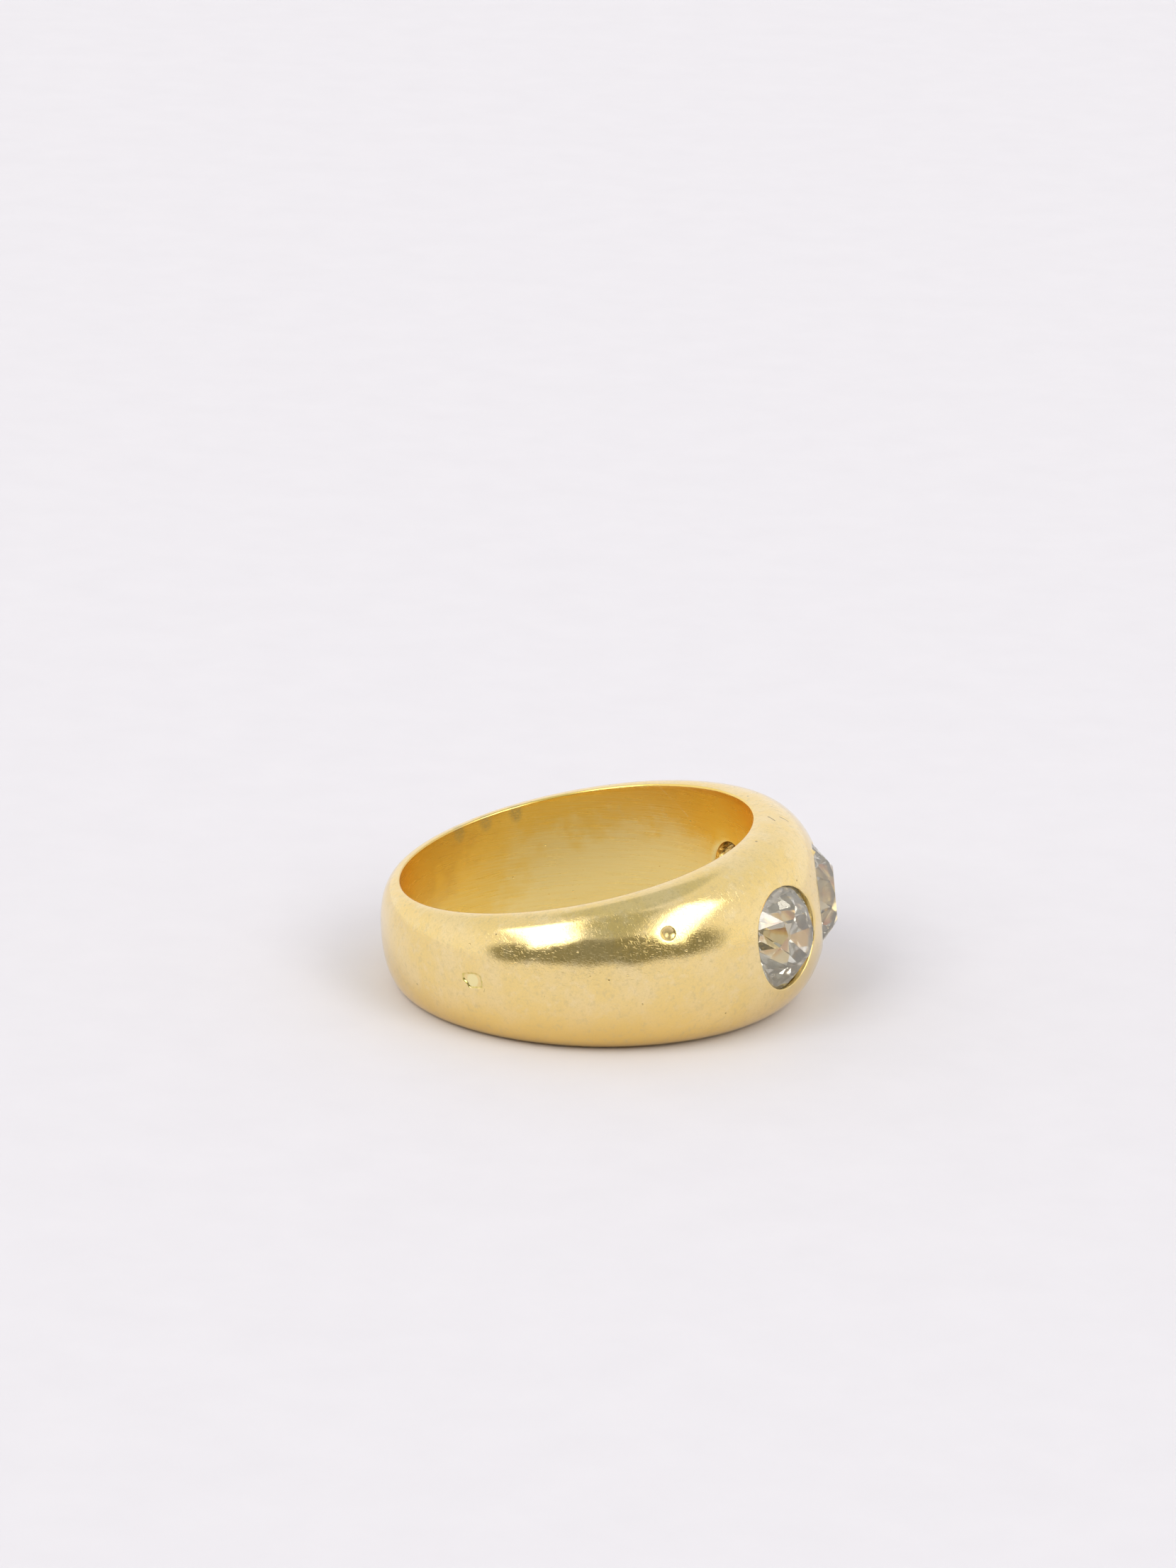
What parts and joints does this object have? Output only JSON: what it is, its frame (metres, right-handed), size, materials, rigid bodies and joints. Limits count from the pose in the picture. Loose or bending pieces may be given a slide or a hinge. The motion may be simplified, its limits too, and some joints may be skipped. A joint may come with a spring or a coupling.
{
  "type": "finger ring",
  "caption": "Broad domed gold finger ring, wider and thicker at the front, with flush-set old-cut diamonds let into the band.",
  "frame": {"origin": "centre of the finger bore, half way across the band", "axes": "+Z along the finger bore; +X from the bore's centre out through the centre stone; the band is symmetric about its XZ plane"},
  "size_m": [0.0231, 0.0226, 0.0092],
  "materials": {
    "gold": "polished yellow gold with fine wear scratches",
    "diamond": "polished facets"
  },
  "bodies": {
    "root": {"band": "gold", "centre_diamond": "diamond", "side_diamond_left": "diamond", "side_diamond_right": "diamond"}
  },
  "joints": []
}
